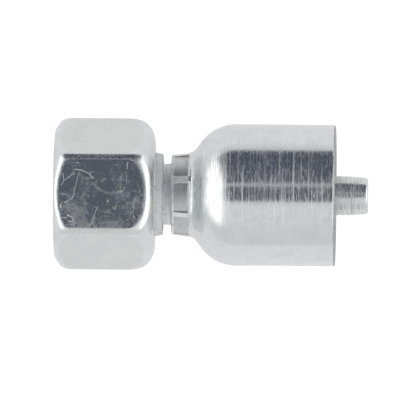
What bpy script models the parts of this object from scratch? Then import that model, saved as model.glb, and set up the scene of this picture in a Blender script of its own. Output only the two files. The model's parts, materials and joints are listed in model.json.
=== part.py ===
"""Crimp hose fitting: a swivel nut and a bell-shaped crimp shell on one turned stem with a barbed hose tail.

The fitting lies on its side. Its axis runs along X, with the nut at -X and the hose tail at +X. The origin is
on the ground under the middle of the fitting. Each turned piece is drawn as a half section: the first number of
a corner is its radius, the second its distance behind the nut's front face.
"""

import math

import bmesh
import bpy
from mathutils import Matrix

# Driving dimensions, in metres and radians.

# Swivel nut, outside
NUT_ACROSS_FLATS = 0.0220
NUT_HEX_LENGTH = 0.01647
NUT_CORNER_STRIP = 0.0009
NUT_TURNING_ALLOWANCE = 0.00006
NUT_FRONT_FACE_DIAMETER = 0.0208
NUT_FRONT_ANGLE = math.radians(56.0)
NUT_FRONT_BLEND = 0.0013
NUT_REAR_ROUND = 0.0038
NUT_COLLAR_DIAMETER = 0.01366
NUT_COLLAR_LENGTH = 0.00133
NUT_COLLAR_DRAFT = 0.0002
NUT_COLLAR_ROUND = 0.0002

# Swivel nut, inside
THREAD_MINOR_DIAMETER = 0.01638
THREAD_LENGTH = 0.0086
THREAD_ENTRY = 0.0010
RELIEF_DEPTH = 0.0009
RELIEF_WIDTH = 0.0015

# Running clearance of the nut on the stem, and the gap between pieces that are fixed together
RUNNING_GAP = 0.0003
SEAT_GAP = 0.0003
# Free travel of the nut between the stem's flange and the shell
NUT_PLAY = 0.00141

# Stem: sealing nose and flange
NOSE_RECESS = 0.0028
NOSE_LENGTH = 0.0074
NOSE_HALF_ANGLE = math.radians(12.0)
NOSE_BASE_DIAMETER = 0.01226
NOSE_TIP_ROUND = 0.0003
NOSE_BORE_DIAMETER = 0.0065
NOSE_BORE_DEPTH = 0.0055
NOSE_BORE_CHAMFER = 0.0002
DRILL_HALF_ANGLE = math.radians(59.0)
FLANGE_DIAMETER = 0.0154
FLANGE_LENGTH = 0.00134
FLANGE_CHAMFER = 0.0003
FLANGE_SEAT_ANGLE = math.radians(45.0)

# Stem: neck, locking groove and stop
NECK_DIAMETER = 0.01008
NECK_SCORE_WIDTH = 0.00036
NECK_SCORE_DEPTH = 0.00012
NECK_SCORE_SETBACK = 0.0009
LOCK_SETBACK = 0.00139
LOCK_WIDTH = 0.0022
LOCK_DIAMETER = 0.0082
STOP_DIAMETER = 0.0095
STOP_CHAMFER = 0.0003

# Stem: hose tail
BORE_DIAMETER = 0.0040
BORE_CHAMFER = 0.0003
TAIL_DIAMETER = 0.00644
TAIL_TIP_DIAMETER = 0.0059
TAIL_TIP_ROUND = 0.00045
TAIL_PROJECTION = 0.00533
TAIL_TAPER_SETBACK = 0.0003
BARB_CREST_DIAMETER = 0.0068
BARB_ROOT_DIAMETER = 0.0060
BARB_PITCH = 0.0029
BARB_LAND = 0.0005
BARB_BACK = 0.00025
BARB_FIRST = 0.0012
BARB_LAST_SETBACK = 0.0022

# Sealing ring
O_RING_SECTION = 0.0015
O_RING_INSET = 0.0020
O_RING_GROOVE_DIAMETER = 0.0079

# Shell, outside
SHELL_DIAMETER = 0.02325
SHELL_LENGTH = 0.02691
SHELL_END_ROUND = 0.00045
SHOULDER_ROUND = 0.00709
SHOULDER_ANGLE = math.radians(62.0)
SHOULDER_FILLET = 0.0009
COLLAR_LENGTH = 0.0039
COLLAR_FRONT_DIAMETER = 0.0132
COLLAR_REAR_DIAMETER = 0.01418
COLLAR_FRONT_ROUND = 0.00055
COLLAR_BORE_CHAMFER = 0.0003

# Shell, inside
HOSE_STOP_DEPTH = 0.00659
SHELL_WALL = 0.002925
CHAMBER_FILLET = 0.0011
MOUTH_CHAMFER = 0.0004
MOUTH_LENGTH = 0.0021
TOOTH_HEIGHT = 0.0005
TOOTH_ROOT_DEPTH = 0.0005
TOOTH_PITCH = 0.0031
TOOTH_CREST_WIDTH = 0.0009
TOOTH_FLANK = 0.0004
TOOTH_FIRST = 0.0015

# Marks of the press jaws on the shell's collar
JAW_COUNT = 7
JAW_TURN = math.radians(160.5)
PRESS_DEPTH = 0.00024
PRESS_LENGTH = 0.00255
PRESS_RUN_OUT = 0.0005
RIDGE_WIDTH = 0.0009
RIDGE_FLANK_ANGLE = math.radians(12.0)

# Facets
NUT_STEPS = 48
SHELL_STEPS = 48
STEM_STEPS = 36
RING_SECTION_STEPS = 10
ARC_TOLERANCE = 0.00001
SHARP_ANGLE = math.radians(28.0)

# The shell is turned by half a facet, so that the fitting lies on a facet and not on an edge between two.
shell_turn = math.pi / SHELL_STEPS
rest_height = SHELL_DIAMETER / 2 * math.cos(shell_turn)

# Radii and places along the axis that follow from the dimensions

nut_corner = NUT_ACROSS_FLATS / math.sqrt(3)
nut_turned_radius = nut_corner - NUT_CORNER_STRIP / 2 / math.tan(math.radians(60)) + NUT_TURNING_ALLOWANCE
nut_collar_radius = NUT_COLLAR_DIAMETER / 2
nut_rear = NUT_HEX_LENGTH + NUT_COLLAR_LENGTH
thread_radius = THREAD_MINOR_DIAMETER / 2

neck_radius = NECK_DIAMETER / 2
flange_radius = FLANGE_DIAMETER / 2
nose_tip = NOSE_RECESS
flange_front = nose_tip + NOSE_LENGTH
flange_rear = flange_front + FLANGE_LENGTH
neck_front = flange_rear + (flange_radius - neck_radius) / math.tan(FLANGE_SEAT_ANGLE)

shell_front = nut_rear + NUT_PLAY
shell_end = shell_front + SHELL_LENGTH
shell_radius = SHELL_DIAMETER / 2
chamber_radius = shell_radius - SHELL_WALL
hose_stop = shell_front + HOSE_STOP_DEPTH
lock_front = shell_front + LOCK_SETBACK
lock_rear = lock_front + LOCK_WIDTH
lock_radius = LOCK_DIAMETER / 2
stop_radius = STOP_DIAMETER / 2
stop_rear = hose_stop - SEAT_GAP
tail_tip = shell_end + TAIL_PROJECTION
groove_radius = O_RING_GROOVE_DIAMETER / 2
groove_front = nose_tip + O_RING_INSET
groove_rear = groove_front + O_RING_SECTION + 2 * SEAT_GAP


def nose_radius(at):
    """Radius of the sealing cone at a place along the axis."""
    return NOSE_BASE_DIAMETER / 2 - (flange_front - at) * math.tan(NOSE_HALF_ANGLE)


def rounded(corners):
    """Closed outline through corners (radius, place) or (radius, place, round), each round laid as an arc."""
    corners = [(*corner, 0.0)[:3] for corner in corners]
    count = len(corners)
    turns, reaches = [], []
    for i, (r, s, size) in enumerate(corners):
        before, after = corners[i - 1], corners[(i + 1) % count]
        way_in = math.atan2(s - before[1], r - before[0])
        way_out = math.atan2(after[1] - s, after[0] - r)
        turn = math.remainder(way_out - way_in, math.tau)
        turns.append((way_in, turn))
        reaches.append(size * math.tan(abs(turn) / 2))
    edges = [math.dist(corners[i][:2], corners[(i + 1) % count][:2]) for i in range(count)]
    shares = [min(1.0, edges[i] / max(reaches[i] + reaches[(i + 1) % count], 1e-12)) for i in range(count)]

    outline = []
    for i, (r, s, size) in enumerate(corners):
        if not size:
            outline.append((r, s))
            continue
        way_in, turn = turns[i]
        size *= 0.999 * min(shares[i], shares[i - 1])
        reach = size * math.tan(abs(turn) / 2)
        start_r, start_s = r - reach * math.cos(way_in), s - reach * math.sin(way_in)
        side = math.copysign(math.pi / 2, turn)
        centre_r = start_r + size * math.cos(way_in + side)
        centre_s = start_s + size * math.sin(way_in + side)
        # Each chord stays within the tolerance of its arc.
        pieces = max(2, math.ceil(abs(turn) / (2 * math.acos(1 - ARC_TOLERANCE / size))))
        for k in range(pieces + 1):
            angle = way_in - side + turn * k / pieces
            outline.append((centre_r + size * math.cos(angle), centre_s + size * math.sin(angle)))
    return outline


def put(obj, collection, axis):
    """Puts an object in its collection, on the fitting's axis."""
    for other in obj.users_collection:
        other.objects.unlink(obj)
    collection.objects.link(obj)
    obj.parent = axis


def turned(name, corners, steps, collection, axis):
    """A ring turned from a half section: down its outer side, tail end first, and back up its inner side."""
    outline = rounded(corners)
    mesh = bpy.data.meshes.new(name)
    points = [(r, 0.0, s) for r, s in outline]
    mesh.from_pydata(points, [(i, (i + 1) % len(points)) for i in range(len(points))], [])
    obj = bpy.data.objects.new(name, mesh)
    put(obj, collection, axis)
    screw = obj.modifiers.new("turn", "SCREW")
    screw.axis = "Z"
    screw.steps = steps
    screw.render_steps = steps
    screw.use_merge_vertices = False
    return obj


def make_cutter(obj):
    obj.hide_render = True
    obj.display_type = "WIRE"


def combine(obj, operation, other):
    boolean = obj.modifiers.new(operation.lower() + "_" + other.name, "BOOLEAN")
    boolean.operation = operation
    boolean.solver = "EXACT"
    boolean.object = other


def finish(obj, colour, roughness, metallic):
    """Fixes the modelled form as a mesh, shades it smooth between its edges and gives it its material."""
    graph = bpy.context.evaluated_depsgraph_get()
    mesh = bpy.data.meshes.new_from_object(obj.evaluated_get(graph))
    mesh.name = obj.name
    obj.modifiers.clear()
    obj.data = mesh
    mesh.shade_smooth()
    mesh.set_sharp_from_angle(angle=SHARP_ANGLE)
    material = bpy.data.materials.new(obj.name)
    material.use_nodes = True
    shader = material.node_tree.nodes["Principled BSDF"]
    shader.inputs["Base Color"].default_value = (*colour, 1.0)
    shader.inputs["Roughness"].default_value = roughness
    shader.inputs["Metallic"].default_value = metallic
    mesh.materials.clear()
    mesh.materials.append(material)


def nut_section():
    """Half section of the nut's turned blank, from its rear collar forward and back through the socket."""
    hole_radius = neck_radius + RUNNING_GAP
    # The inner cone lies the running clearance away from the flange's cone, measured square to both.
    seat_shift = RUNNING_GAP / math.sin(FLANGE_SEAT_ANGLE)
    cone = 1 / math.tan(FLANGE_SEAT_ANGLE)
    seat_rear = neck_front + seat_shift - RUNNING_GAP * cone
    seat_front = seat_rear - (thread_radius - hole_radius) * cone
    front_radius = NUT_FRONT_FACE_DIAMETER / 2
    front_rise = (nut_turned_radius - front_radius) / math.tan(NUT_FRONT_ANGLE)
    relief_radius = thread_radius + RELIEF_DEPTH
    relief_rear = THREAD_LENGTH + RELIEF_WIDTH
    return [
        (hole_radius + NUT_COLLAR_ROUND, nut_rear),
        (nut_collar_radius - NUT_COLLAR_DRAFT, nut_rear, NUT_COLLAR_ROUND),
        (nut_collar_radius, NUT_HEX_LENGTH + NUT_COLLAR_LENGTH / 3),
        (nut_collar_radius, NUT_HEX_LENGTH),
        (nut_turned_radius, NUT_HEX_LENGTH, NUT_REAR_ROUND),
        (nut_turned_radius, front_rise, NUT_FRONT_BLEND),
        (front_radius, 0.0),
        (thread_radius + THREAD_ENTRY, 0.0),
        (thread_radius, THREAD_ENTRY),
        (thread_radius, THREAD_LENGTH - RELIEF_DEPTH),
        (relief_radius, THREAD_LENGTH),
        (relief_radius, relief_rear - RELIEF_DEPTH),
        (thread_radius, relief_rear),
        (thread_radius, seat_front),
        (hole_radius, seat_rear),
        (hole_radius, nut_rear - NUT_COLLAR_ROUND),
    ]


def make_swivel_nut(parts, cutters, axis):
    nut = turned("swivel_nut", nut_section(), NUT_STEPS, parts, axis)

    mesh = bpy.data.meshes.new("nut_hexagon")
    cage = bmesh.new()
    length = 2 * nut_rear
    bmesh.ops.create_cone(cage, cap_ends=True, segments=6, radius1=nut_corner, radius2=nut_corner, depth=length)
    bmesh.ops.translate(cage, verts=cage.verts, vec=(0, 0, nut_rear / 2))
    cage.to_mesh(mesh)
    cage.free()
    hexagon = bpy.data.objects.new("nut_hexagon", mesh)
    put(hexagon, cutters, axis)
    make_cutter(hexagon)
    strips = hexagon.modifiers.new("corner_strips", "BEVEL")
    strips.offset_type = "WIDTH"
    strips.width = NUT_CORNER_STRIP
    strips.segments = 1
    strips.limit_method = "ANGLE"
    strips.angle_limit = math.radians(45)

    combine(nut, "INTERSECT", hexagon)
    return nut


def barbs():
    """Barbs of the hose tail, last one first: each climbs towards the nut and drops behind its crest."""
    crest, root = BARB_CREST_DIAMETER / 2, BARB_ROOT_DIAMETER / 2
    first = hose_stop + BARB_FIRST
    count = int((shell_end - BARB_LAST_SETBACK - first) / BARB_PITCH)
    corners = []
    for k in reversed(range(count)):
        start = first + k * BARB_PITCH
        corners.append((root, start + BARB_PITCH))
        corners.append((crest, start + BARB_BACK + BARB_LAND))
        corners.append((crest, start + BARB_BACK))
    corners.append((root, first))
    return corners, first + count * BARB_PITCH


def stem_section():
    """Half section of the stem, from the tip of the hose tail forward and back through the bore."""
    bore = BORE_DIAMETER / 2
    nose_bore = NOSE_BORE_DIAMETER / 2
    nose_bore_rear = nose_tip + NOSE_BORE_DEPTH
    drill_rear = nose_bore_rear + (nose_bore - bore) / math.tan(DRILL_HALF_ANGLE)
    score = shell_front - NECK_SCORE_SETBACK
    tail = TAIL_DIAMETER / 2
    barb_corners, barbs_rear = barbs()
    return [
        (bore + BORE_CHAMFER, tail_tip),
        (TAIL_TIP_DIAMETER / 2, tail_tip, TAIL_TIP_ROUND),
        (tail, shell_end - TAIL_TAPER_SETBACK),
        (tail, barbs_rear + BARB_BACK),
        *barb_corners,
        (BARB_ROOT_DIAMETER / 2, stop_rear),
        (stop_radius - STOP_CHAMFER, stop_rear),
        (stop_radius, stop_rear - STOP_CHAMFER),
        (stop_radius, lock_rear),
        (lock_radius, lock_rear),
        (lock_radius, lock_front),
        (neck_radius, lock_front),
        (neck_radius, score + NECK_SCORE_WIDTH / 2),
        (neck_radius - NECK_SCORE_DEPTH, score),
        (neck_radius, score - NECK_SCORE_WIDTH / 2),
        (neck_radius, neck_front),
        (flange_radius, flange_rear),
        (flange_radius, flange_front + FLANGE_CHAMFER),
        (flange_radius - FLANGE_CHAMFER, flange_front),
        (nose_radius(flange_front), flange_front),
        (nose_radius(groove_rear), groove_rear),
        (groove_radius, groove_rear),
        (groove_radius, groove_front),
        (nose_radius(groove_front), groove_front),
        (nose_radius(nose_tip), nose_tip, NOSE_TIP_ROUND),
        (nose_bore + NOSE_BORE_CHAMFER, nose_tip),
        (nose_bore, nose_tip + NOSE_BORE_CHAMFER),
        (nose_bore, nose_bore_rear),
        (bore, drill_rear),
        (bore, tail_tip - BORE_CHAMFER),
    ]


def make_stem(parts, axis):
    return turned("stem", stem_section(), STEM_STEPS, parts, axis)


def make_o_ring(parts, axis):
    """The sealing ring, seated in the groove of the nose."""
    bpy.ops.mesh.primitive_torus_add(
        major_radius=groove_radius + SEAT_GAP + O_RING_SECTION / 2,
        minor_radius=O_RING_SECTION / 2,
        major_segments=STEM_STEPS,
        minor_segments=RING_SECTION_STEPS,
    )
    ring = bpy.context.object
    ring.name = "o_ring"
    put(ring, parts, axis)
    ring.location = (0, 0, (groove_front + groove_rear) / 2)
    return ring


def teeth():
    """Gripping rings inside the shell, from the hose stop to the mouth."""
    crest, root = chamber_radius - TOOTH_HEIGHT, chamber_radius + TOOTH_ROOT_DEPTH
    first = hose_stop + TOOTH_FIRST
    count = int((shell_end - MOUTH_LENGTH - first) / TOOTH_PITCH)
    gap = TOOTH_PITCH - TOOTH_CREST_WIDTH - 2 * TOOTH_FLANK
    corners = []
    for k in range(count):
        start = first + gap / 2 + k * TOOTH_PITCH
        corners.append((root, start))
        corners.append((crest, start + TOOTH_FLANK))
        corners.append((crest, start + TOOTH_FLANK + TOOTH_CREST_WIDTH))
        corners.append((root, start + 2 * TOOTH_FLANK + TOOTH_CREST_WIDTH))
    return corners


def shell_section():
    """Half section of the shell, from its mouth forward over the shoulder and back along the teeth."""
    collar_bore = neck_radius + SEAT_GAP
    stop_bore = stop_radius + SEAT_GAP
    lip = lock_radius + SEAT_GAP
    collar_rear_radius = COLLAR_REAR_DIAMETER / 2
    collar_rear = shell_front + COLLAR_LENGTH
    shoulder_run = (shell_radius - collar_rear_radius) / math.tan(SHOULDER_ANGLE)
    teeth_corners = teeth()
    return [
        (chamber_radius + MOUTH_CHAMFER, shell_end),
        (shell_radius, shell_end, SHELL_END_ROUND),
        (shell_radius, collar_rear + shoulder_run, SHOULDER_ROUND),
        (collar_rear_radius, collar_rear, SHOULDER_FILLET),
        (COLLAR_FRONT_DIAMETER / 2, shell_front, COLLAR_FRONT_ROUND),
        (collar_bore + COLLAR_BORE_CHAMFER, shell_front),
        (collar_bore, shell_front + COLLAR_BORE_CHAMFER),
        (collar_bore, lock_front + SEAT_GAP),
        (lip, lock_front + SEAT_GAP),
        (lip, lock_rear - SEAT_GAP),
        (stop_bore, lock_rear - SEAT_GAP),
        (stop_bore, hose_stop),
        (chamber_radius, hose_stop, CHAMBER_FILLET),
        (chamber_radius, teeth_corners[0][1] - TOOTH_ROOT_DEPTH),
        *teeth_corners,
        (chamber_radius, teeth_corners[-1][1] + TOOTH_ROOT_DEPTH),
        (chamber_radius, shell_end - MOUTH_CHAMFER),
    ]


def collar_radius(at):
    """Radius of the collar's cone, before it was pressed, at a place along the axis."""
    share = (at - shell_front) / COLLAR_LENGTH
    return (COLLAR_FRONT_DIAMETER + share * (COLLAR_REAR_DIAMETER - COLLAR_FRONT_DIAMETER)) / 2


def make_press_tools(cutters, axis):
    """The press jaws that staked the collar: wedges, hollowed to the collar's pressed form."""
    margin = 0.001
    front = shell_front - margin
    press_rear = shell_front + PRESS_LENGTH
    pressed_front = collar_radius(shell_front) - PRESS_DEPTH
    pressed_rear = collar_radius(press_rear) - PRESS_DEPTH
    inner = pressed_front - margin
    outer = COLLAR_REAR_DIAMETER / 2 + margin
    rise = outer + margin - pressed_rear
    form_corners = [
        (outer + margin, press_rear + rise + margin),
        (outer + margin, press_rear + rise),
        (pressed_rear, press_rear, PRESS_RUN_OUT),
        (pressed_front, shell_front),
        (pressed_front, front - margin),
        (inner - margin, front - margin),
        (inner - margin, press_rear + rise + margin),
    ]
    form = turned("pressed_form", form_corners, SHELL_STEPS, cutters, axis)
    form.rotation_euler = (0, 0, shell_turn)
    make_cutter(form)

    half_pitch = math.pi / JAW_COUNT
    middle = (pressed_front + pressed_rear) / 2
    half_width = middle * math.tan(half_pitch) - RIDGE_WIDTH / 2 / math.cos(half_pitch)
    flare = math.tan(half_pitch + RIDGE_FLANK_ANGLE)
    jaws = []
    for k in range(JAW_COUNT):
        mesh = bpy.data.meshes.new(f"jaw_{k}")
        cage = bmesh.new()
        bmesh.ops.create_cube(cage, size=1.0)
        for vert in cage.verts:
            radius = outer if vert.co.x > 0 else inner
            width = half_width + (radius - middle) * flare
            vert.co.y = math.copysign(width, vert.co.y)
            vert.co.x = radius
            vert.co.z = press_rear + margin if vert.co.z > 0 else front
        cage.to_mesh(mesh)
        cage.free()
        jaw = bpy.data.objects.new(f"jaw_{k}", mesh)
        put(jaw, cutters, axis)
        jaw.rotation_euler = (0, 0, JAW_TURN + (2 * k + 1) * half_pitch)
        make_cutter(jaw)
        combine(jaw, "DIFFERENCE", form)
        jaws.append(jaw)
    return jaws


def make_shell(parts, cutters, axis):
    shell = turned("shell", shell_section(), SHELL_STEPS, parts, axis)
    shell.rotation_euler = (0, 0, shell_turn)
    for jaw in make_press_tools(cutters, axis):
        combine(shell, "DIFFERENCE", jaw)
    return shell


def main():
    for old in list(bpy.data.objects):
        bpy.data.objects.remove(old)

    parts = bpy.data.collections.new("crimp_hose_fitting")
    cutters = bpy.data.collections.new("cutters")
    bpy.context.scene.collection.children.link(parts)
    bpy.context.scene.collection.children.link(cutters)

    # The turning axis: its Z runs along world X, from the nut's front face to the tail.
    axis = bpy.data.objects.new("fitting_axis", None)
    parts.objects.link(axis)
    axis.matrix_world = Matrix.Translation((-tail_tip / 2, 0, rest_height)) @ Matrix.Rotation(math.pi / 2, 4, "Y")

    nut = make_swivel_nut(parts, cutters, axis)
    stem = make_stem(parts, axis)
    ring = make_o_ring(parts, axis)
    shell = make_shell(parts, cutters, axis)

    zinc = (0.77, 0.79, 0.80)
    finish(nut, zinc, 0.30, 1.0)
    finish(stem, zinc, 0.32, 1.0)
    finish(shell, zinc, 0.28, 1.0)
    finish(ring, (0.015, 0.015, 0.016), 0.55, 0.0)


main()
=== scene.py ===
"""Looks of the crimp hose fitting: fine turned pieces in zinc-plated steel, a white studio with a dark
ceiling, and the camera of the photograph.

Everything is in metres, in the frame's axes: the fitting's axis runs along X, nut at -X, and +Z is up.
Turned pieces are half sections of (radius, x) points, read from the frame's own solids and turned again more
finely.
"""

import json
import math

import bmesh
import bpy
from mathutils import Matrix, Vector


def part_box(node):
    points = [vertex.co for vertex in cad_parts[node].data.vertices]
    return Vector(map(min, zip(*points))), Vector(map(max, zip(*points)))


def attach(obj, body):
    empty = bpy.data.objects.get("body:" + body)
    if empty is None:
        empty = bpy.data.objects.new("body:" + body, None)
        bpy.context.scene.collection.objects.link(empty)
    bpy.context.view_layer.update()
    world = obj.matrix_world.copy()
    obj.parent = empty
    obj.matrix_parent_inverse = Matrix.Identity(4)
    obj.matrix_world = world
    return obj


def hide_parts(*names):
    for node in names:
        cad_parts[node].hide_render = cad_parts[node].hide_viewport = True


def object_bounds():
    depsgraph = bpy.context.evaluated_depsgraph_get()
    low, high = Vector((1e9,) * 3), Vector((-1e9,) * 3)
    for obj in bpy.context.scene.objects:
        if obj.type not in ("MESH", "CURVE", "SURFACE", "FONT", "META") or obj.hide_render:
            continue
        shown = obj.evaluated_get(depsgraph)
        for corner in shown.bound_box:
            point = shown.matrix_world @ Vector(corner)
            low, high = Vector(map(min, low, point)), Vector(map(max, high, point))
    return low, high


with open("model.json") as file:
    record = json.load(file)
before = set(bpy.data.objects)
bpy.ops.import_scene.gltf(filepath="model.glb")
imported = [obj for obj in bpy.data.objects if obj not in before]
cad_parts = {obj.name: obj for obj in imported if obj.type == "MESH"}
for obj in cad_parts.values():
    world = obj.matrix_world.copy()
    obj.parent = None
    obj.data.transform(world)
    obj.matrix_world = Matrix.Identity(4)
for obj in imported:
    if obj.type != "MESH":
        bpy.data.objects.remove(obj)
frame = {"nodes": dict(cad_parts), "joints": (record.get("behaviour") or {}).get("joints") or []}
cad_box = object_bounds()

# The photograph: its width in pixels, the size of a pixel at the fitting's axis, and the pixels where the
# nut's front face and the axis lie
PHOTO_WIDTH = 415
PIXEL = 0.00016418
NUT_FACE_PIXEL = 54.6
AXIS_PIXEL = 194.7

# The camera: how far the axis is turned in the picture, how far the camera leans over to the hose tail's
# side, its distance, the nearest and the farthest that it sees, and the width of its sensor
AXIS_ROLL = math.radians(0.47)
VIEW_TILT = math.radians(1.35)
CAMERA_DISTANCE = 2.4
CAMERA_REACH = (0.01, 20.0)
SENSOR_WIDTH = 0.036

# Steps round the axis on the shell, on its ridges, on the nut and on the stem, and what rounding may add to
# a count of steps. The ring has so many steps round the axis and round its own section.
SHELL_STEP = math.radians(2.5)
RIDGE_STEP = math.radians(0.65)
NUT_STEP = math.radians(1.6)
STEM_STEP = math.radians(2.25)
STEP_ROUNDING = 1e-6
RING_STEPS = (160, 32)

# Reading the frame's solids: how close points are that are welded, how little an edge turns round the axis
# that lies in a plane through it, and how far apart such planes are
WELD = 1e-7
SAME_ANGLE = math.radians(0.05)
ANGLE_BIN = math.radians(0.25)

# Making a half section finer. Sides are the chords of an arc where they turn by an angle between these two
# and are nearly as long as their neighbours. A sharper corner is worn, by the wear or, where that is less,
# by a share of the side next to it. A short piece ends each straight side.
ARC_TURNS = (math.radians(2.0), math.radians(30.0))
ARC_LIKENESS = 1.35
ARC_STEP = math.radians(3.5)
EDGE_WEAR = 0.00005
CORNER_SHARE = 0.48
CORNER_STEP = math.radians(23.0)
END_PIECE = 0.00005
SHARP_ANGLE = math.radians(20.0)

# Swivel nut: how far the worn edges between its turned ends and the bar reach, onto the end and onto the
# bar, first in the middle of a flat and then at a corner, and how far the ends are carried on past the bar
FRONT_EDGE_REACH = ((0.0005, 0.0005), (0.00095, 0.0011))
REAR_EDGE_REACH = ((0.0009, 0.00095), (0.0011, 0.0012))
END_OVERRUN = 0.0005
PROFILE_ROWS = 16
EDGE_ROWS = 9

# The worn edges along the bar: half the angle that one takes up round the axis, and the steps across it
BAR_EDGE_TURN = math.radians(1.6)
BAR_EDGE_STEPS = 10

# The length of the nut's bar, the wear on its front face, and the wear on its rear collar's root, which lies
# within a radius
NUT_HEX_LENGTH = 0.01647
FACE_EDGE_WEAR = 0.0004
NUT_ROOT_LIMIT = 0.0075
NUT_ROOT_WEAR = 0.00045

# The nut's thread, M18 x 1.5. Its cutter starts inside the bore.
THREAD_PITCH = 0.0015
THREAD_MAJOR_RADIUS = 0.009
THREAD_CUTTER_RADIUS = 0.00802
THREAD_FLANK = math.radians(30.0)
THREAD_TURNS = 7
THREAD_STEPS = 96

# The shell's collar: its length, how far from the front its cone is measured, the rows along its skin, which
# lies outside a radius, and the press jaws that marked it, with the first of the ridges between their marks
COLLAR_LENGTH = 0.0039
CONE_START = 0.0008
COLLAR_ROW = 0.0001
COLLAR_SKIN_RADIUS = 0.0058
JAW_COUNT = 7
FIRST_RIDGE = math.radians(21.7)

# A jaw's mark: its depth at the front, how much of the collar's slope it keeps, how far from the front it
# starts to show and ends, and the run-out after it
PRESS_DEPTH = 0.0001
PRESS_SLOPE = 0.5
PRESS_START = 0.0005
PRESS_LENGTH = 0.0027
PRESS_RUN_OUT = 0.0005

# A ridge between two marks: its width, its flank, and the angle to each side that has the finer steps
RIDGE_WIDTH = 0.0008
RIDGE_FLANK = 0.00028
RIDGE_FOOT = math.radians(6.5)

# The hollow between collar and shoulder, measured from the shell's front
ROOT_START = 0.0032
ROOT_END = 0.0046
ROOT_ROWS = 16

# Rubber ring, as thick as it takes to touch the bottom of its groove
RING_SECTION = 0.0018

# The ground, and the gap that keeps it clear of the fitting
FLOOR_WIDTH = 6.0
FLOOR_GAP = 0.00002

axis_z = frame["joints"][0]["pos_m"][2]


def at(radius, x, angle):
    """Point at a radius round the axis, at an angle from straight up towards +Y."""
    return (x, radius * math.sin(angle), axis_z + radius * math.cos(angle))


def radius_of(point):
    return math.hypot(point.y, point.z - axis_z)


def angle_of(point):
    return math.atan2(point.y, point.z - axis_z)


def smooth_step(low, high, value):
    share = min(1.0, max(0.0, (value - low) / (high - low)))
    return share * share * (3 - 2 * share)


def blend(a, b, share):
    return tuple(p + share * (q - p) for p, q in zip(a, b))


def evenly(low, high, step):
    """Values from low up to high, high left out, in equal steps no longer than the one given."""
    count = math.ceil((high - low) / step - STEP_ROUNDING)
    return [low + (high - low) * k / count for k in range(count)]


# Half sections of the frame's solids


def enclosed(outline):
    """Area inside a closed outline."""
    pairs = zip(outline, outline[1:] + outline[:1])
    return abs(sum(a[0] * b[1] - b[0] * a[1] for a, b in pairs)) / 2


def chain(edges):
    """Vertices of the edges in order, from an open end if there is one. Empty if the edges branch."""
    links = {}
    for edge in edges:
        for vert in edge.verts:
            links.setdefault(vert, []).append(edge)
    if any(len(found) > 2 for found in links.values()):
        return []
    ends = [vert for vert, found in links.items() if len(found) == 1]
    vert = ends[0] if ends else next(iter(links))
    order = [vert]
    used = set()
    while True:
        onward = [edge for edge in links[vert] if edge not in used]
        if not onward:
            return order
        used.add(onward[0])
        vert = onward[0].other_vert(vert)
        if vert is order[0]:
            return order
        order.append(vert)


def half_section(node):
    """Outline of a turned node of the frame as (radius, x) points, in the plane where it is fullest."""
    solid = bmesh.new()
    solid.from_mesh(frame["nodes"][node].data)
    bmesh.ops.remove_doubles(solid, verts=solid.verts, dist=WELD)
    planes = {}
    for edge in solid.edges:
        angles = [angle_of(vert.co) for vert in edge.verts]
        if abs(math.remainder(angles[0] - angles[1], math.tau)) < SAME_ANGLE:
            planes.setdefault(round(angles[0] / ANGLE_BIN), []).append(edge)
    best = []
    for edges in planes.values():
        outline = [(radius_of(vert.co), vert.co.x) for vert in chain(edges)]
        if enclosed(outline) > enclosed(best):
            best = outline
    solid.free()
    return best


def softened(outline, wear=lambda radius, x: EDGE_WEAR):
    """The closed outline with its arcs made round and its sharp corners worn.

    A short piece at each end of its straight sides keeps their shading straight.

    wear gives how far the wear on the corner at a radius and an x runs back from it."""
    count = len(outline)
    runs = [Vector(outline[(i + 1) % count]) - Vector(outline[i]) for i in range(count)]
    headings = [run.normalized() for run in runs]
    turns = [runs[i - 1].angle_signed(runs[i]) for i in range(count)]

    def is_chord(i):
        first, last = turns[i], turns[(i + 1) % count]
        bends = all(ARC_TURNS[0] < abs(turn) < ARC_TURNS[1] for turn in (first, last))
        ratios = [runs[j % count].length / runs[i].length for j in (i - 1, i + 1)]
        alike = any(1 / ARC_LIKENESS < ratio < ARC_LIKENESS for ratio in ratios)
        return bends and first * last > 0 and alike

    def cut_back(i):
        if abs(turns[i]) < ARC_TURNS[1]:
            return 0.0
        return min(wear(*outline[i]), CORNER_SHARE * runs[i - 1].length, CORNER_SHARE * runs[i].length)

    chords = [is_chord(i) for i in range(count)]
    cuts = [cut_back(i) for i in range(count)]
    fine = []
    for i, run in enumerate(runs):
        here = Vector(outline[i])
        onward = (i + 1) % count
        if cuts[i]:
            start = here - cuts[i] * headings[i - 1]
            end = here + cuts[i] * headings[i]
            pieces = math.ceil(abs(turns[i]) / CORNER_STEP)
            for k in range(pieces + 1):
                t = k / pieces
                fine.append(tuple(start.lerp(here, t).lerp(here.lerp(end, t), t)))
        else:
            fine.append(tuple(here))
        if chords[i]:
            # The curve leaves halfway between two chords, or along the straight side next to it.
            leave = headings[i - 1]
            if chords[i - 1]:
                leave = (leave + headings[i]).normalized()
            arrive = headings[onward]
            if chords[onward]:
                arrive = (arrive + headings[i]).normalized()
            pieces = math.ceil(abs(turns[i]) / ARC_STEP) + 1
            for k in range(1, pieces):
                t = k / pieces
                bow = t * (1 - t) ** 2 * leave - t * t * (1 - t) * arrive
                fine.append(tuple(here + t * t * (3 - 2 * t) * run + run.length * bow))
        elif run.length - cuts[i] - cuts[onward] > 4 * END_PIECE:
            fine.append(tuple(here + (cuts[i] + END_PIECE) * headings[i]))
            fine.append(tuple(here + run - (cuts[onward] + END_PIECE) * headings[i]))
    return fine


# Mesh building


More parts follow.
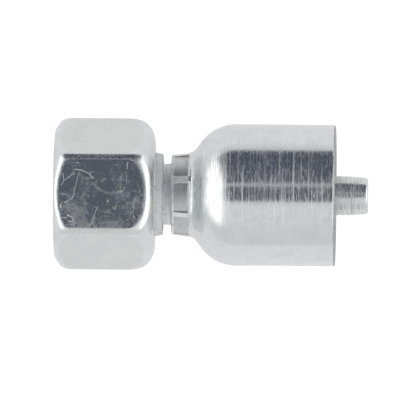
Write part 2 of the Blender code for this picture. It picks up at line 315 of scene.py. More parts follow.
def new_object(name, points, faces):
    mesh = bpy.data.meshes.new(name)
    mesh.from_pydata(points, [], faces)
    form = bmesh.new()
    form.from_mesh(mesh)
    bmesh.ops.recalc_face_normals(form, faces=form.faces)
    form.to_mesh(mesh)
    form.free()
    obj = bpy.data.objects.new(name, mesh)
    bpy.context.scene.collection.objects.link(obj)
    return obj


def skin(rings, size):
    """Quads between pairs of rings, each given by its number. A ring is a closed loop of so many points."""
    faces = []
    for first, second in rings:
        a, b = first * size, second * size
        for k in range(size):
            onward = (k + 1) % size
            faces.append((a + k, b + k, b + onward, a + onward))
    return faces


def swept(name, sections, angles):
    """A closed ring round the axis through one section at each angle."""
    points = [at(r, x, angle) for section, angle in zip(sections, angles) for r, x in section]
    rings = [(i, (i + 1) % len(angles)) for i in range(len(angles))]
    return new_object(name, points, skin(rings, len(sections[0])))


def place(obj, body, node):
    """Shows a finished piece in place of a node of the frame."""
    obj.data.shade_smooth()
    obj.data.set_sharp_from_angle(angle=SHARP_ANGLE)
    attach(obj, body)
    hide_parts(node)


# Swivel nut

nut_low, nut_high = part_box("swivel_nut")
flat_distance = (nut_high.z - nut_low.z) / 2
strip_distance = (nut_high.y - nut_low.y) / 2
# Half the angle that a flat takes up, between the strips along its two corners
flat_half_angle = math.atan2(2 * strip_distance - math.sqrt(3) * flat_distance, flat_distance)


def bar_radius(angle):
    """Distance from the axis to the hexagon bar, with a flat upwards and a strip along each corner."""
    from_flat = abs(math.remainder(angle, math.pi / 3))
    on_flat = flat_distance / math.cos(from_flat)
    on_strip = strip_distance / math.cos(math.pi / 6 - from_flat)
    # How far the two part within the worn edge between them
    parting = BAR_EDGE_TURN * strip_distance * math.tan(flat_half_angle)
    share = max(0.0, 1 - abs(on_flat - on_strip) / parting)
    return min(on_flat, on_strip) - share * share * parting / 4


def nut_angles():
    """Angles round the nut, closest together on the worn edges between its flats and its strips."""
    angles = []
    for k in range(6):
        low = k * math.pi / 3 - flat_half_angle
        high = k * math.pi / 3 + flat_half_angle
        stops = [low - BAR_EDGE_TURN, low + BAR_EDGE_TURN, high - BAR_EDGE_TURN, high + BAR_EDGE_TURN]
        angles += evenly(stops[0], stops[1], 2 * BAR_EDGE_TURN / BAR_EDGE_STEPS)
        angles += evenly(stops[1], stops[2], NUT_STEP)
        angles += evenly(stops[2], stops[3], 2 * BAR_EDGE_TURN / BAR_EDGE_STEPS)
        angles += evenly(stops[3], stops[0] + math.pi / 3, NUT_STEP)
    return angles


def head(outline):
    """The first points of an outline, up to where it starts to run straight across the axis."""
    count = 1
    while abs(outline[count][1] - outline[count - 1][1]) > WELD:
        count += 1
    return outline[:count]


def walk(path, distance):
    """Point at a distance along an open path."""
    for a, b in zip(path, path[1:]):
        length = math.dist(a, b)
        if distance <= length:
            break
        distance -= length
    return blend(a, b, distance / length)


def reach(path, radius):
    """Distance along a path that runs outwards to where it comes to a radius, or else its whole length."""
    gone = 0.0
    for a, b in zip(path, path[1:]):
        if b[0] >= radius:
            return gone + math.dist(a, b) * (radius - a[0]) / (b[0] - a[0])
        gone += math.dist(a, b)
    return gone


def turned_end(path, radius, wear, inward):
    """Rows from the start of a turned end, over its worn edge and onto the bar at a radius.

    wear is how far the worn edge reaches, in the middle of a flat and at a corner. inward is the direction
    along X, +1 or -1, from this end to the nut's middle."""
    onto_end, onto_bar = blend(*wear, (radius - flat_distance) / (strip_distance - flat_distance))
    to_edge = reach(path, radius)
    to_start = max(0.0, to_edge - onto_end)
    edge = walk(path, to_edge)
    start = walk(path, to_start)
    end = (radius, edge[1] + inward * onto_bar)
    rows = [walk(path, to_start * k / PROFILE_ROWS) for k in range(PROFILE_ROWS)]
    for k in range(EDGE_ROWS + 1):
        t = k / EDGE_ROWS
        rows.append(blend(blend(start, edge, t), blend(edge, end, t), t))
    rows.append((radius, end[1] + inward * END_PIECE))
    return rows


def thread_cutter(front):
    """The groove of a right-hand thread, from in front of the nut back into its relief."""
    # Half the flat at the groove's root, which is an eighth of the pitch wide, and half the groove's mouth
    root = THREAD_PITCH / 16
    mouth = root + (THREAD_MAJOR_RADIUS - THREAD_CUTTER_RADIUS) * math.tan(THREAD_FLANK)
    corners = [
        (THREAD_CUTTER_RADIUS, -mouth),
        (THREAD_MAJOR_RADIUS, -root),
        (THREAD_MAJOR_RADIUS, root),
        (THREAD_CUTTER_RADIUS, mouth),
    ]
    count = THREAD_STEPS * THREAD_TURNS
    points = []
    for k in range(count + 1):
        turn = k / THREAD_STEPS
        points += [at(r, front + along + turn * THREAD_PITCH, -turn * math.tau) for r, along in corners]
    faces = skin([(k, k + 1) for k in range(count)], len(corners))
    first_cap = tuple(range(len(corners)))
    faces += [first_cap, tuple(count * len(corners) + k for k in first_cap)]
    return new_object("thread_cutter", points, faces)


def nut_wear(radius, x):
    """How far the wear on a corner of the nut's section runs back from it."""
    if x < nut_low.x + WELD and radius > THREAD_MAJOR_RADIUS + FACE_EDGE_WEAR:
        return FACE_EDGE_WEAR
    at_rear = abs(x - nut_low.x - NUT_HEX_LENGTH) < EDGE_WEAR
    return NUT_ROOT_WEAR if at_rear and radius < NUT_ROOT_LIMIT else EDGE_WEAR


def carried_on(end, before):
    """Point past the end of a path, straight on from the point before it."""
    heading = (Vector(end) - Vector(before)).normalized()
    return tuple(Vector(end) + END_OVERRUN * heading)


def make_nut():
    outline = half_section("swivel_nut")
    if outline[0][1] > outline[-1][1]:
        outline.reverse()
    # The strips along the bar end the section. Its two turned ends are carried on past them.
    outline = [point for point in softened(outline, nut_wear) if point[0] < strip_distance - WELD]
    outline.insert(0, carried_on(outline[0], outline[1]))
    outline.append(carried_on(outline[-1], outline[-2]))
    front = head(outline)
    rear = head(outline[::-1])
    inside = outline[len(front):len(outline) - len(rear)]
    angles = nut_angles()
    sections = []
    for angle in angles:
        radius = bar_radius(angle)
        front_rows = turned_end(front[::-1], radius, FRONT_EDGE_REACH, 1)
        rear_rows = turned_end(rear[::-1], radius, REAR_EDGE_REACH, -1)
        sections.append(front_rows + rear_rows[::-1] + inside[::-1])
    nut = swept("threaded_nut", sections, angles)

    thread = nut.modifiers.new("thread", "BOOLEAN")
    thread.operation = "DIFFERENCE"
    thread.solver = "EXACT"
    thread.object = thread_cutter(nut_low.x - THREAD_PITCH)
    graph = bpy.context.evaluated_depsgraph_get()
    mesh = bpy.data.meshes.new_from_object(nut.evaluated_get(graph))
    bpy.data.objects.remove(thread.object)
    nut.modifiers.clear()
    nut.data = mesh
    place(nut, "nut", "swivel_nut")
    return nut


# Shell

shell_low, shell_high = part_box("shell")


def from_front(outline):
    """The closed outline starting at its front face, and going outwards there."""
    start = outline.index(min(outline, key=lambda point: (round(point[1] / WELD), point[0])))
    outline = outline[start:] + outline[:start]
    return outline if outline[1][0] > outline[-1][0] else outline[:1] + outline[:0:-1]


def widen_root(outline):
    """The shell's outline with a wider hollow where the collar meets the bell's shoulder."""
    low, high = (shell_low.x + inset for inset in (ROOT_START, ROOT_END))
    in_root = [k for k, (r, x) in enumerate(outline) if r > COLLAR_SKIN_RADIUS and low < x < high]
    first, last = in_root[0], in_root[-1]
    cone = Vector(outline[first]) - Vector(outline[first - 1])
    start = Vector(outline[first]) - cone * ((outline[first][1] - low) / cone.y)
    end = Vector(outline[last + 1])
    slant = Vector(outline[last + 2]) - Vector(outline[last])
    # The tangents at the curve's two ends meet in the middle point that it bends towards.
    gap = end - start
    share = (gap.x * slant.y - gap.y * slant.x) / (cone.x * slant.y - cone.y * slant.x)
    middle = start + share * cone
    curve = []
    for k in range(ROOT_ROWS):
        t = k / ROOT_ROWS
        curve.append(tuple(start.lerp(middle, t).lerp(middle.lerp(end, t), t)))
    return outline[:first] + curve + outline[last + 1:]


def collar_rows(outline):
    """The shell's outline with closely spaced rows along the collar's outer skin."""
    fine = []
    for point, onward in zip(outline, outline[1:] + outline[:1]):
        fine.append(point)
        on_skin = min(point[0], onward[0]) > COLLAR_SKIN_RADIUS
        if on_skin and max(point[1], onward[1]) < shell_low.x + COLLAR_LENGTH:
            pieces = math.ceil(math.dist(point, onward) / COLLAR_ROW)
            fine += [blend(point, onward, k / pieces) for k in range(1, pieces)]
    return fine


def shell_angles():
    """Angles round the shell, closest together at the ridges that stand between the jaws' marks."""
    angles = []
    pitch = math.tau / JAW_COUNT
    for k in range(JAW_COUNT):
        ridge = FIRST_RIDGE + k * pitch
        angles += evenly(ridge - RIDGE_FOOT, ridge + RIDGE_FOOT, RIDGE_STEP)
        angles += evenly(ridge + RIDGE_FOOT, ridge + pitch - RIDGE_FOOT, SHELL_STEP)
    return angles


def off_ridge(point):
    """Distance round the shell from a point to the middle of the nearest ridge."""
    return abs(math.remainder(angle_of(point) - FIRST_RIDGE, math.tau / JAW_COUNT)) * radius_of(point)


def press_collar(mesh, outline):
    """Presses the collar's cone in to nearly a cylinder, with a run-out towards the shoulder."""
    skin_points = [(r, x) for r, x in outline if r > COLLAR_SKIN_RADIUS]
    start = min((x, r) for r, x in skin_points if x > shell_low.x + CONE_START)
    finish = max((x, r) for r, x in skin_points if x < shell_low.x + PRESS_LENGTH + PRESS_RUN_OUT)
    slope = (finish[1] - start[1]) / (finish[0] - start[0])
    front_radius = start[1] - slope * (start[0] - shell_low.x)
    for vert in mesh.vertices:
        inset = vert.co.x - shell_low.x
        r = radius_of(vert.co)
        if inset > PRESS_LENGTH + PRESS_RUN_OUT or r < COLLAR_SKIN_RADIUS:
            continue
        cone = front_radius + slope * inset
        pressed = front_radius - PRESS_DEPTH + PRESS_SLOPE * slope * inset
        pressed += (cone - pressed) * smooth_step(PRESS_LENGTH, PRESS_LENGTH + PRESS_RUN_OUT, inset)
        held = 1 - smooth_step(RIDGE_WIDTH / 2, RIDGE_WIDTH / 2 + RIDGE_FLANK, off_ridge(vert.co))
        kept = min(r, pressed + held * max(0.0, r - pressed))
        vert.co = at(kept, vert.co.x, angle_of(vert.co))


def make_shell():
    outline = collar_rows(softened(widen_root(from_front(half_section("shell")))))
    angles = shell_angles()
    shell = swept("pressed_shell", [outline] * len(angles), angles)
    press_collar(shell.data, outline)
    place(shell, "stem_and_shell", "shell")
    return shell


# Stem and sealing ring


def make_stem():
    outline = softened(half_section("stem"))
    angles = evenly(0.0, math.tau, STEM_STEP)
    stem = swept("turned_stem", [outline] * len(angles), angles)
    place(stem, "stem_and_shell", "stem")
    return stem


def make_ring():
    low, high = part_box("o_ring")
    around, across = RING_STEPS
    middle = (high.y - low.y) / 2 - RING_SECTION / 2
    section = []
    for k in range(across):
        angle = k * math.tau / across
        x = (low.x + high.x) / 2 + RING_SECTION / 2 * math.sin(angle)
        section.append((middle + RING_SECTION / 2 * math.cos(angle), x))
    angles = evenly(0.0, math.tau, math.tau / around)
    ring = swept("sealing_ring", [section] * len(angles), angles)
    place(ring, "stem_and_shell", "o_ring")
    return ring


nut = make_nut()
shell = make_shell()
stem = make_stem()
ring = make_ring()


class Nodes:
    """Builds a node tree by calls that return sockets."""

    def __init__(self, owner):
        owner.use_nodes = True
        self.tree = owner.node_tree
        self.tree.nodes.clear()

    def add(self, kind, *inputs, **settings):
        """A node. Its inputs are set by place: a socket is linked, a value is set and None is left alone."""
        node = self.tree.nodes.new(kind)
        for key, value in settings.items():
            setattr(node, key, value)
        for socket, value in zip(node.inputs, inputs):
            self.feed(socket, value)
        return node

    def feed(self, socket, value):
        if isinstance(value, bpy.types.NodeSocket):
            self.tree.links.new(value, socket)
        elif value is not None:
            socket.default_value = value

    def sum(self, a, b):
        return self.add("ShaderNodeMath", a, b, operation="ADD").outputs[0]

    def times(self, a, b):
        return self.add("ShaderNodeMath", a, b, operation="MULTIPLY").outputs[0]

    def math(self, operation, *inputs):
        return self.add("ShaderNodeMath", *inputs, operation=operation).outputs[0]

    def strongest(self, values):
        """The greatest of several values."""
        total = values[0]
        for value in values[1:]:
            total = self.math("MAXIMUM", total, value)
        return total

    def ramp(self, value, low, high, to_low=0.0, to_high=1.0):
        """Smooth change from to_low to to_high as the value goes from low to high."""
        node = self.add("ShaderNodeMapRange", value, interpolation_type="SMOOTHSTEP")
        node.inputs["From Min"].default_value = low
        node.inputs["From Max"].default_value = high
        node.inputs["To Min"].default_value = to_low
        node.inputs["To Max"].default_value = to_high
        return node.outputs[0]

    def between(self, value, low, high, edge):
        """1 between low and high, falling smoothly to 0 over an edge on each side."""
        rise = self.ramp(value, low - edge / 2, low + edge / 2)
        fall = self.ramp(value, high - edge / 2, high + edge / 2, 1.0, 0.0)
        return self.times(rise, fall)

    def mix(self, factor, a, b):
        """Blend of two colours, from a at 0 to b at 1. A mix node's colours are its inputs 6 and 7."""
        node = self.add("ShaderNodeMix", data_type="RGBA")
        self.feed(node.inputs["Factor"], factor)
        self.feed(node.inputs[6], a)
        self.feed(node.inputs[7], b)
        return node.outputs[2]

    def noise(self, vector, scale, detail=2.0, roughness=0.5, fourth=None):
        """Noise from about 0.3 to 0.7 over three dimensions, or over four if a fourth is given."""
        node = self.add("ShaderNodeTexNoise", vector, fourth, noise_dimensions="4D" if fourth else "3D")
        node.inputs["Scale"].default_value = scale
        node.inputs["Detail"].default_value = detail
        node.inputs["Roughness"].default_value = roughness
        return node.outputs["Fac"]

    def stretched(self, vector, scale):
        """The vector with each of its parts times its own scale."""
        node = self.add("ShaderNodeVectorMath", vector, scale, operation="MULTIPLY")
        return node.outputs[0]


# Materials. A scale is about how many features there are to the metre, a range is the part of the noise that
# a feature fades in over, and a depth is how high its bumps stand.

WHITE = (1.0, 1.0, 1.0, 1.0)
ZINC = (0.79, 0.81, 0.81, 1.0)
BAR_ZINC = (0.725, 0.755, 0.74, 1.0)
DULL_ZINC = (0.70, 0.725, 0.72, 1.0)
BLACK_RUBBER = (0.012, 0.012, 0.013, 1.0)
DUSTY_RUBBER = (0.03, 0.03, 0.031, 1.0)

# Turned zinc: long lines and finer, shorter flecks, each with how fast it changes on its way round the axis,
# and patches of haze
LINE_CHANGE = 0.015
LINE_RANGE = (0.5, 0.68)
FLECK_CHANGE = 0.13
FLECK_RANGE = (0.48, 0.68)
FLECK_FINENESS = 1.2
FLECK_STRENGTH = 0.8
FLECK_HEIGHT = 0.7
HAZE_SCALE = 420.0
HAZE_RANGE = (0.35, 0.65)
HAZE_COLOUR = 0.5
HAZE_ROUGHNESS = 0.03
TURNED_ANISOTROPY = 0.8
QUARTER_TURN = 0.25

# Worn zinc: short torn lines that are rougher and smoother than the rest, and stains
TORN_SCALE = 3200.0
TORN_CHANGE = 0.1
TORN_RANGE = (0.35, 0.65)
TORN_SPREAD = 0.08
STAIN_SCALE = 900.0
STAIN_RANGE = (0.5, 0.7)
STAIN_TONE = 0.82

# Drawn zinc: clouds and mottle where it is rubbed dull, and a fine grain. The rubbed finish is also shifted
# towards -Y as a painted shading gradient, so that the flat shows lighter towards -Y and darker towards +Y.
CLOUD_SCALE = 260.0
MOTTLE_SCALE = 1700.0
RUBBED_RANGE = (0.44, 0.62)
RUBBED_ROUGHNESS = 0.17
PAINTED_SHADE_REACH = 0.005
PAINTED_SHADE_SHIFT = 0.05
GRAIN_SCALE = 6500.0
GRAIN_RANGE = (0.45, 0.7)
GRAIN_ROUGHNESS = 0.12
GRAIN_HEIGHT = 0.5
DRAWN_ROUGHNESS = 0.12
DRAWN_DEPTH = 1.8e-6

# Hairlines on the drawn zinc: each kind's angle to the axis in degrees, its scale and its width. They follow
# the middle of a noise that is stretched by these, and break off where a coarser noise is low.
HAIRLINES = [(70, 1500.0, 0.012), (118, 1300.0, 0.012), (15, 1400.0, 0.010)]
HAIRLINE_STRETCH = (0.07, 1.0, 1.0)
HAIRLINE_STRENGTH = 0.55
BREAK_SCALE = 500.0
BREAK_RANGE = (0.52, 0.62)
MIDDLE_OF_NOISE = 0.5

# Scratches on the nut's top flat, in millimetres: from the nut's front face and from the axis towards +Y.
# Each is a line of points, with its width and how strongly it shows.
SCRATCHES = [
    ([(3.6, 4.0), (4.8, 3.8), (5.8, 3.35), (6.7, 2.55)], 0.13, 1.0),
    ([(4.3, 3.5), (3.25, -0.75), (1.9, -1.5)], 0.10, 0.75),
    ([(7.4, -2.1), (6.2, -5.3)], 0.10, 0.8),
    ([(1.4, 1.4), (1.85, 2.1), (3.5, 3.35)], 0.11, 0.8),
    ([(1.65, 3.3), (1.85, 2.1)], 0.14, 0.8),
    ([(12.25, 5.2), (12.15, 4.1)], 0.12, 0.9),
    ([(12.1, 3.6), (12.05, 1.5)], 0.09, 0.45),
    ([(13.75, -0.3), (13.3, -1.2), (13.2, -5.1)], 0.09, 0.4),
    ([(4.0, 5.1), (4.2, 5.0)], 0.16, 1.0),
    ([(9.0, -1.0), (9.05, -1.25)], 0.16, 1.0),
    ([(14.7, 1.3), (14.8, 1.3)], 0.16, 0.9),
    ([(5.85, -0.3), (5.95, -0.5)], 0.13, 0.8),
    ([(1.65, -3.9), (2.35, -4.0)], 0.15, 0.9),
    ([(2.5, -3.5), (2.8, -3.7)], 0.18, 1.0),
    ([(3.1, -3.7), (3.5, -4.3), (3.2, -4.6), (2.7, -4.5)], 0.14, 0.9),
    ([(1.3, -2.0), (1.4, -2.3)], 0.20, 0.8),
    ([(6.5, 1.75), (7.9, 0.5), (9.7, 0.0), (11.3, 0.5)], 0.5, 0.22),
]
MILLIMETRE = 0.001

# A scratch fades from the first to the second of these shares of its width, on either side of its middle.
SCRATCH_FADE = (1 / 4, 2 / 3)

# What hairlines and scratches add to the roughness and to the height
MARK_ROUGHNESS = 0.46
MARK_HEIGHT = -1.5

# Raw strips: pits, drawn out a little along the bar
PIT_SCALE = 3600.0
PIT_STRETCH = (0.8, 1.0, 1.0)
PIT_COLOUR_RANGE = (0.4, 0.6)
PIT_RANGE = (0.35, 0.65)
PIT_ROUGHNESS = (0.2, 0.42)
PIT_DEPTH = 1.6e-5

# Rubber: dust
DUST_SCALE = 2400.0
DUST_RANGE = (0.2, 0.8)
DUST_ROUGHNESS = (0.45, 0.65)


def new_material(name, metallic):
    """A new material: itself, its nodes, its shader, and the place on the piece in metres."""
    material = bpy.data.materials.new(name)
    n = Nodes(material)
    here = n.add("ShaderNodeTexCoord").outputs["Object"]
    shader = n.add("ShaderNodeBsdfPrincipled")
    shader.inputs["Metallic"].default_value = metallic
    output = n.add("ShaderNodeOutputMaterial")
    n.feed(output.inputs["Surface"], shader.outputs[0])
    return material, n, here, shader


def turning_lines(n, here, scale, change):
    """Noise in fine lines round the axis. change says how fast a line changes on its way round."""
    parts = n.add("ShaderNodeSeparateXYZ", here).outputs
    up = n.math("SUBTRACT", parts["Z"], axis_z)
    radius = n.math("SQRT", n.sum(n.times(parts["Y"], parts["Y"]), n.times(up, up)))
    section = n.add("ShaderNodeCombineXYZ", parts["X"], radius, n.times(parts["Y"], change)).outputs[0]
    return n.noise(section, scale, roughness=0.6, fourth=n.times(up, change))


def bumped(n, shader, height, depth):
    """Gives a shader bumps as deep as the given depth where the height goes from 0 to 1."""
    bump = n.add("ShaderNodeBump")
    bump.inputs["Strength"].default_value = 1.0
    bump.inputs["Distance"].default_value = depth
    n.feed(bump.inputs["Height"], height)
    n.feed(shader.inputs["Normal"], bump.outputs[0])


def turned_zinc(name, scale, roughness, spread, depth):
    """Bright zinc plate over turned steel, with fine lines round the axis.

    scale is that of the lines, roughness is the skin's between them, and spread is what the lines add to it.
    The reflections spread along the axis."""
    material, n, here, shader = new_material(name, metallic=1.0)
    lines = turning_lines(n, here, scale, LINE_CHANGE)
    flecks = turning_lines(n, here, scale * FLECK_FINENESS, FLECK_CHANGE)
    marks = n.strongest([n.ramp(lines, *LINE_RANGE), n.ramp(flecks, *FLECK_RANGE, 0.0, FLECK_STRENGTH)])
    haze = n.ramp(n.noise(here, HAZE_SCALE, detail=3.0), *HAZE_RANGE)
    n.feed(shader.inputs["Base Color"], n.mix(n.times(haze, HAZE_COLOUR), ZINC, DULL_ZINC))
    skin_roughness = n.sum(roughness, n.times(marks, spread))
    n.feed(shader.inputs["Roughness"], n.sum(skin_roughness, n.times(haze, HAZE_ROUGHNESS)))
    shader.inputs["Anisotropic"].default_value = TURNED_ANISOTROPY
    shader.inputs["Anisotropic Rotation"].default_value = QUARTER_TURN
    tangent = n.add("ShaderNodeTangent", direction_type="RADIAL", axis="X")
    n.feed(shader.inputs["Tangent"], tangent.outputs[0])
    bumped(n, shader, n.sum(lines, n.times(flecks, FLECK_HEIGHT)), depth)
    return material


def worn_zinc(name, tone, roughness, depth):
    """Zinc plate without shine, where a jaw pressed it or a tool left it torn. tone is how light it is; on
    the stem's neck and the shell's end face it also holds painted light and painted shade.
    """
    material, n, here, shader = new_material(name, metallic=1.0)
    lines = turning_lines(n, here, TORN_SCALE, TORN_CHANGE)
    stain = n.noise(here, STAIN_SCALE, detail=4.0, roughness=0.65)
    light = tuple(tone * part for part in ZINC[:3]) + (1.0,)
    dark = tuple(STAIN_TONE * part for part in light[:3]) + (1.0,)
    n.feed(shader.inputs["Base Color"], n.mix(n.ramp(stain, *STAIN_RANGE), light, dark))
    smoother, rougher = roughness - TORN_SPREAD, roughness + TORN_SPREAD
    n.feed(shader.inputs["Roughness"], n.ramp(lines, *TORN_RANGE, smoother, rougher))
    bumped(n, shader, n.sum(lines, stain), depth)
    return material


def stroke(n, here, points, width):
    """1 along a line of points on the top flat, given in millimetres, fading to 0 at its edges."""
    marks = []
    for a, b in zip(points, points[1:]):
        start = Vector((nut_low.x + a[0] * MILLIMETRE, a[1] * MILLIMETRE, nut_high.z))
        run = Vector((b[0] - a[0], b[1] - a[1], 0)) * MILLIMETRE
        offset = n.add("ShaderNodeVectorMath", here, start, operation="SUBTRACT").outputs[0]
        ahead = n.add("ShaderNodeVectorMath", offset, run / run.length_squared, operation="DOT_PRODUCT")
        share = n.add("ShaderNodeClamp", ahead.outputs["Value"]).outputs[0]
        foot = n.add("ShaderNodeVectorMath", run, operation="SCALE")
        n.feed(foot.inputs["Scale"], share)
        gap = n.add("ShaderNodeVectorMath", offset, foot.outputs[0], operation="DISTANCE")
        strong, gone = (part * width * MILLIMETRE for part in SCRATCH_FADE)
        marks.append(n.ramp(gap.outputs["Value"], strong, gone, 1.0, 0.0))
    return n.strongest(marks)


def hairlines(n, here, angle, scale, width):
    """Long fine scratches at an angle to the axis, broken here and there."""
    turn = n.add("ShaderNodeVectorRotate", here, rotation_type="Z_AXIS")
    turn.inputs["Angle"].default_value = math.radians(angle)
    level = n.noise(n.stretched(turn.outputs[0], HAIRLINE_STRETCH), scale, detail=1.0)
    off_line = n.math("ABSOLUTE", n.math("SUBTRACT", level, MIDDLE_OF_NOISE))
    line = n.ramp(off_line, 0.0, width, 1.0, 0.0)
    return n.times(line, n.ramp(n.noise(turn.outputs[0], BREAK_SCALE), *BREAK_RANGE))


def drawn_zinc(name):
    """Zinc plate on the nut's flats: drawn bar, scuffed and scratched in handling."""
    material, n, here, shader = new_material(name, metallic=1.0)
    cloud = n.noise(here, CLOUD_SCALE, roughness=0.6)
    mottle = n.noise(here, MOTTLE_SCALE, detail=4.0, roughness=0.65)
    grain = n.noise(here, GRAIN_SCALE, roughness=0.6)
    sideways = n.add("ShaderNodeSeparateXYZ", here).outputs["Y"]
    # Painted shade: the rubbed finish is shifted towards -Y, so the flat shows lighter towards -Y and darker
    # towards +Y.
    painted_shade_shift = n.ramp(sideways, -PAINTED_SHADE_REACH, PAINTED_SHADE_REACH, PAINTED_SHADE_SHIFT, -PAINTED_SHADE_SHIFT)
    both = n.times(n.sum(cloud, mottle), 0.5)
    rubbed_and_painted_shade = n.ramp(n.sum(both, painted_shade_shift), *RUBBED_RANGE)
    n.feed(shader.inputs["Base Color"], n.mix(rubbed_and_painted_shade, BAR_ZINC, DULL_ZINC))

    fine = n.strongest([hairlines(n, here, *kind) for kind in HAIRLINES])
    marks = [n.times(fine, HAIRLINE_STRENGTH)]
    for points, width, strength in SCRATCHES:
        marks.append(n.times(stroke(n, here, points, width), strength))
    marks = n.strongest(marks)

    finish = n.sum(n.times(rubbed_and_painted_shade, RUBBED_ROUGHNESS), n.ramp(grain, *GRAIN_RANGE, 0.0, GRAIN_ROUGHNESS))
    unmarked = n.sum(DRAWN_ROUGHNESS, finish)
    n.feed(shader.inputs["Roughness"], n.sum(unmarked, n.times(marks, MARK_ROUGHNESS)))
    height = n.sum(mottle, n.times(grain, GRAIN_HEIGHT))
    bumped(n, shader, n.sum(height, n.times(marks, MARK_HEIGHT)), DRAWN_DEPTH)
    return material


def rough_zinc(name):
    """Zinc plate on the raw strips along the bar's corners."""
    material, n, here, shader = new_material(name, metallic=1.0)
    pits = n.noise(n.stretched(here, PIT_STRETCH), PIT_SCALE, detail=3.0, roughness=0.7)
    n.feed(shader.inputs["Base Color"], n.mix(n.ramp(pits, *PIT_COLOUR_RANGE), DULL_ZINC, ZINC))
    n.feed(shader.inputs["Roughness"], n.ramp(pits, *PIT_RANGE, *PIT_ROUGHNESS))
    bumped(n, shader, pits, PIT_DEPTH)
    return material


def rubber(name):
    """Black rubber with a little dust on it."""
    material, n, here, shader = new_material(name, metallic=0.0)
    dust = n.noise(here, DUST_SCALE, detail=3.0)
    n.feed(shader.inputs["Base Color"], n.mix(dust, BLACK_RUBBER, DUSTY_RUBBER))
    n.feed(shader.inputs["Roughness"], n.ramp(dust, *DUST_RANGE, *DUST_ROUGHNESS))
    return material


# Finding the faces of each finish. The X part of a flat's or strip's normal is below this, and the face lies
# as far out as a flat or further, give or take a tolerance.
FLAT_LEAN = 0.005
FLAT_TOLERANCE = 1e-5

# The X part of the end face's normal is above this, and the face lies within a depth of the shell's end. The
# stem's neck lies between two radii, and reaches so far into the nut and into the shell's collar.
END_FACE_LEAN = 0.45
END_FACE_DEPTH = 0.0004
NECK_RADIUS = (0.0047, 0.0052)
NECK_INSIDE_NUT = 0.002
NECK_INSIDE_SHELL = 0.001


def give(obj, *materials):
    obj.data.materials.clear()
    for material in materials:
        obj.data.materials.append(material)


def finish_nut():
    """Gives the nut's turned skin, flats, corner strips and rear collar their own finish."""
    flat, strip, collar = 1, 2, 3
    give(
        nut,
        turned_zinc("nut_turned_zinc", scale=4200.0, roughness=0.2, spread=0.14, depth=2.0e-6),
        drawn_zinc("nut_drawn_zinc"),
        rough_zinc("nut_rough_zinc"),
        worn_zinc("nut_collar_zinc", tone=0.98, roughness=0.7, depth=6.0e-6),
    )
    for face in nut.data.polygons:
        how_far_out = (face.center - Vector((0, 0, axis_z))).dot(face.normal)
        if face.center.x > nut_low.x + NUT_HEX_LENGTH + WELD:
            face.material_index = collar
        elif abs(face.normal.x) < FLAT_LEAN and how_far_out > flat_distance - FLAT_TOLERANCE:
            on_strip = how_far_out > (flat_distance + strip_distance) / 2
            face.material_index = strip if on_strip else flat


def finish_shell():
    """Gives the shell's turned skin a shine, and the jaws' marks, their ridges and the end face none. The
    end face is darker partly for its duller cut finish and partly as painted shade.
    """
    pressed, ridge, end_face = 1, 2, 3
    give(
        shell,
        turned_zinc("shell_turned_zinc", scale=6400.0, roughness=0.16, spread=0.28, depth=3.6e-6),
        worn_zinc("shell_pressed_zinc", tone=0.78, roughness=0.46, depth=6.0e-6),
        worn_zinc("shell_ridge_zinc", tone=1.1, roughness=0.6, depth=6.0e-6),
        # The end face's low tone is partly its duller cut finish and partly painted shade, standing in for
        # the shadowed floor that it reflects.
        worn_zinc("shell_end_face_dull_zinc_and_painted_shade", tone=0.55, roughness=0.45, depth=4.0e-6),
    )
    for face in shell.data.polygons:
        inset = face.center.x - shell_low.x
        in_marks = inset < PRESS_LENGTH + PRESS_RUN_OUT / 3
        if face.normal.x > END_FACE_LEAN and face.center.x > shell_high.x - END_FACE_DEPTH:
            face.material_index = end_face
        elif in_marks and radius_of(face.center) > COLLAR_SKIN_RADIUS:
            off_front = inset > PRESS_START
            on_face = off_ridge(face.center) > RIDGE_WIDTH / 2
            face.material_index = pressed if off_front and on_face else ridge


def finish_stem():
    """Gives the stem's turned skin a shine, and the neck none. The neck's zinc is lighter than plain zinc:
    painted light that lifts the shade in the hollow between nut and shell.
    """
    neck = 1
    give(
        stem,
        turned_zinc("stem_turned_zinc", scale=4400.0, roughness=0.24, spread=0.45, depth=1.5e-6),
        # The neck's tone above plain zinc is painted light, lifting the shade that falls in the hollow
        # between the nut and the shell.
        worn_zinc("stem_neck_zinc_painted_light", tone=1.22, roughness=0.7, depth=1.8e-5),
    )
    start = nut_high.x - NECK_INSIDE_NUT
    end = shell_low.x + NECK_INSIDE_SHELL
    for face in stem.data.polygons:
        bare = NECK_RADIUS[0] < radius_of(face.center) < NECK_RADIUS[1]
        if bare and start < face.center.x < end:
            face.material_index = neck


finish_nut()
finish_shell()
finish_stem()
give(ring, rubber("black_rubber"))


# The floor's colour, how much it glows, and how much more it glows as the camera sees it
FLOOR_COLOUR = (0.3, 0.3, 0.3, 1.0)
FLOOR_GLOW = 0.6
FLOOR_SEEN_GLOW = 0.32


def make_floor():
    """Plain white ground that glows a little, so that it stays pale right up to the fitting."""
    half = FLOOR_WIDTH / 2
    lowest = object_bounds()[0].z
    corners = [(-half, -half, 0), (half, -half, 0), (half, half, 0), (-half, half, 0)]
    floor = new_object("floor", corners, [(0, 1, 2, 3)])
    floor.location.z = lowest - FLOOR_GAP
    material = bpy.data.materials.new("white_ground")
    n = Nodes(material)
    diffuse = n.add("ShaderNodeBsdfDiffuse", FLOOR_COLOUR)
    seen = n.add("ShaderNodeLightPath").outputs["Is Camera Ray"]
    glow = n.add("ShaderNodeEmission", WHITE, n.sum(FLOOR_GLOW, n.times(seen, FLOOR_SEEN_GLOW)))
    both = n.add("ShaderNodeAddShader", diffuse.outputs[0], glow.outputs[0])
    output = n.add("ShaderNodeOutputMaterial")
    n.feed(output.inputs["Surface"], both.outputs[0])
    give(floor, material)


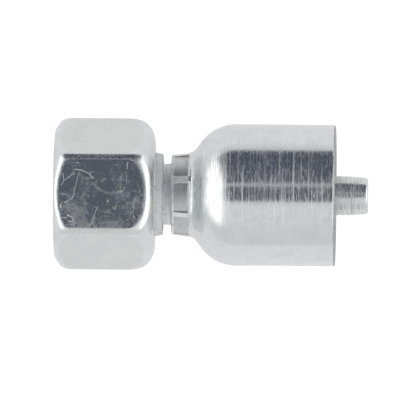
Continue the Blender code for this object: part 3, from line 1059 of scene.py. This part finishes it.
# The studio. A direction has a tilt, from straight up towards +Y, and a lean along X to either side, both in
# degrees. A span is its start, its end and the width of its soft edges.
CEILING_TILT = (-10.5, 78.5, 5.0)
CEILING_LEAN = 28.0
CEILING_WIDENING = 0.17
CEILING_EDGE = 2.0
CEILING_CHANGE = (-5.0, 45.0)
CEILING_LIGHT = (0.098, 0.112, 0.146, 1.0)
CEILING_FAR_LIGHT = (0.074, 0.085, 0.114, 1.0)
SLIT_TILT = (14.0, 19.5, 3.0)
SLIT_LIGHT = (0.46, 0.47, 0.485, 1.0)
BOX_TILT = (-60.0, 88.0, 20.0)
BOX_LEAN = (33.0, 86.0, 6.0)
BOX_LIGHT = (1.6, 1.6, 1.6, 1.0)
WALL_LIGHT = (0.71, 0.72, 0.725, 1.0)
DEGREES = 180 / math.pi


def make_studio():
    """A white room round the fitting: a dark ceiling with a slit of light, and bright boxes at both ends."""
    world = bpy.data.worlds.new("studio")
    bpy.context.scene.world = world
    n = Nodes(world)
    direction = n.add("ShaderNodeTexCoord").outputs["Generated"]
    parts = n.add("ShaderNodeSeparateXYZ", direction).outputs
    tilt = n.times(n.math("ARCTAN2", parts["Y"], parts["Z"]), DEGREES)
    lean = n.times(n.math("ARCSINE", n.math("ABSOLUTE", parts["X"])), DEGREES)

    # The ceiling reaches further along X the further it tilts.
    end = n.sum(CEILING_LEAN, n.times(n.math("MAXIMUM", tilt, 0.0), CEILING_WIDENING))
    inside = n.ramp(n.math("SUBTRACT", lean, end), -CEILING_EDGE, CEILING_EDGE, 1.0, 0.0)
    ceiling = n.times(n.between(tilt, *CEILING_TILT), inside)
    ceiling_light = n.mix(n.ramp(tilt, *CEILING_CHANGE), CEILING_LIGHT, CEILING_FAR_LIGHT)
    ceiling_light = n.mix(n.between(tilt, *SLIT_TILT), ceiling_light, SLIT_LIGHT)

    box = n.times(n.between(lean, *BOX_LEAN), n.between(tilt, *BOX_TILT))
    room = n.mix(ceiling, n.mix(box, WALL_LIGHT, BOX_LIGHT), ceiling_light)
    seen = n.add("ShaderNodeLightPath").outputs["Is Camera Ray"]
    light = n.add("ShaderNodeBackground", n.mix(seen, room, WHITE), 1.0)
    output = n.add("ShaderNodeOutputWorld")
    n.feed(output.inputs["Surface"], light.outputs[0])


def make_camera():
    """The photograph's view: from above, and a little from the hose tail's side."""
    data = bpy.data.cameras.new("camera")
    camera = bpy.data.objects.new("camera", data)
    bpy.context.scene.collection.objects.link(camera)
    # Blender takes these two in millimetres.
    data.sensor_width = SENSOR_WIDTH * 1000
    data.lens = SENSOR_WIDTH * 1000 * CAMERA_DISTANCE / (PHOTO_WIDTH * PIXEL)
    data.clip_start, data.clip_end = CAMERA_REACH
    middle = PHOTO_WIDTH / 2
    aim_x = cad_box[0].x + (middle - NUT_FACE_PIXEL) * PIXEL
    aim = Vector((aim_x, (AXIS_PIXEL - middle) * PIXEL, axis_z))
    back = Vector((math.sin(VIEW_TILT), 0, math.cos(VIEW_TILT)))
    right = Vector((math.cos(AXIS_ROLL), math.sin(AXIS_ROLL), 0))
    right = (right - right.dot(back) * back).normalized()
    turn = Matrix((right, back.cross(right), back)).transposed()
    camera.matrix_world = Matrix.Translation(aim + CAMERA_DISTANCE * back) @ turn.to_4x4()
    bpy.context.scene.camera = camera


make_floor()
make_studio()
make_camera()
bpy.context.scene.view_settings.view_transform = "Standard"
